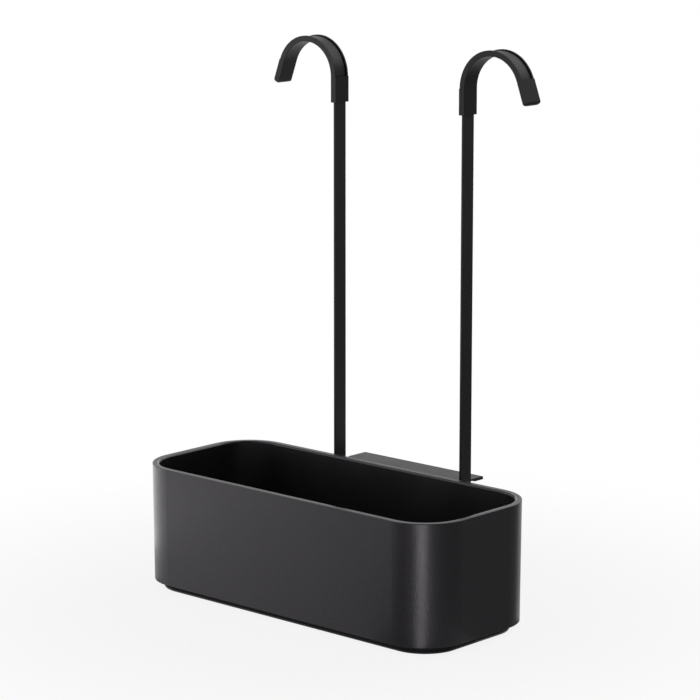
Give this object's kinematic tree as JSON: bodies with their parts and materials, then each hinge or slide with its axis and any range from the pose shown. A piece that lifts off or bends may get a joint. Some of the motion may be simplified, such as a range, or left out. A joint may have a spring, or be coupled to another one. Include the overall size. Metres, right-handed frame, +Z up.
{
  "type": "hanging storage basket",
  "caption": "Long storage basket with round corners and a lift-out tray, hung from tall flat-bar hangers whose soft-covered hooks swivel behind its back wall.",
  "frame": {"origin": "centre of the flat underside of the tray's base, which the basket stands on", "axes": "+X along the basket, +Y to the back where the hangers stand, +Z up"},
  "size_m": [0.3, 0.1662, 0.418],
  "materials": {
    "shell_plastic": "satin black, finely textured",
    "tray_plastic": "matt black",
    "coated_steel": "satin black powder coat",
    "soft_cover": "satin black, soft",
    "zinc_steel": "zinc plated",
    "housing_nylon": "matt black, glass filled",
    "washer_nylon": "natural white"
  },
  "bodies": {
    "basket": {"outer_shell": "shell_plastic", "rear_bracket": "coated_steel", "spacer_edge_strip": "soft_cover", "bracket_screws": "zinc_steel", "bracket_nuts": "zinc_steel", "housing_screws": "zinc_steel", "left_swivel_housing": "housing_nylon", "right_swivel_housing": "housing_nylon", "left_friction_washer": "washer_nylon", "right_friction_washer": "washer_nylon"},
    "tray": {"inner_tray": "tray_plastic"},
    "left_hanger": {"left_pivot_spindle": "zinc_steel", "left_bar_pin": "zinc_steel", "left_retaining_ring": "zinc_steel", "left_hanger_bar": "coated_steel", "left_hook_cover": "soft_cover"},
    "right_hanger": {"right_pivot_spindle": "zinc_steel", "right_bar_pin": "zinc_steel", "right_retaining_ring": "zinc_steel", "right_hanger_bar": "coated_steel", "right_hook_cover": "soft_cover"}
  },
  "joints": [
    {"name": "tray_lift", "type": "slide", "parent": "basket", "child": "tray", "axis": [0, 0, 1], "range_m": [0, 0.105]},
    {"name": "left_hook_swivel", "type": "hinge", "parent": "basket", "child": "left_hanger", "pos_m": [-0.0638, 0.0777, 0.065], "axis": [0, 0, -1], "range_deg": [0, 90]},
    {"name": "right_hook_swivel", "type": "hinge", "parent": "basket", "child": "right_hanger", "pos_m": [0.0638, 0.0777, 0.065], "axis": [0, 0, 1], "range_deg": [0, 90]}
  ]
}
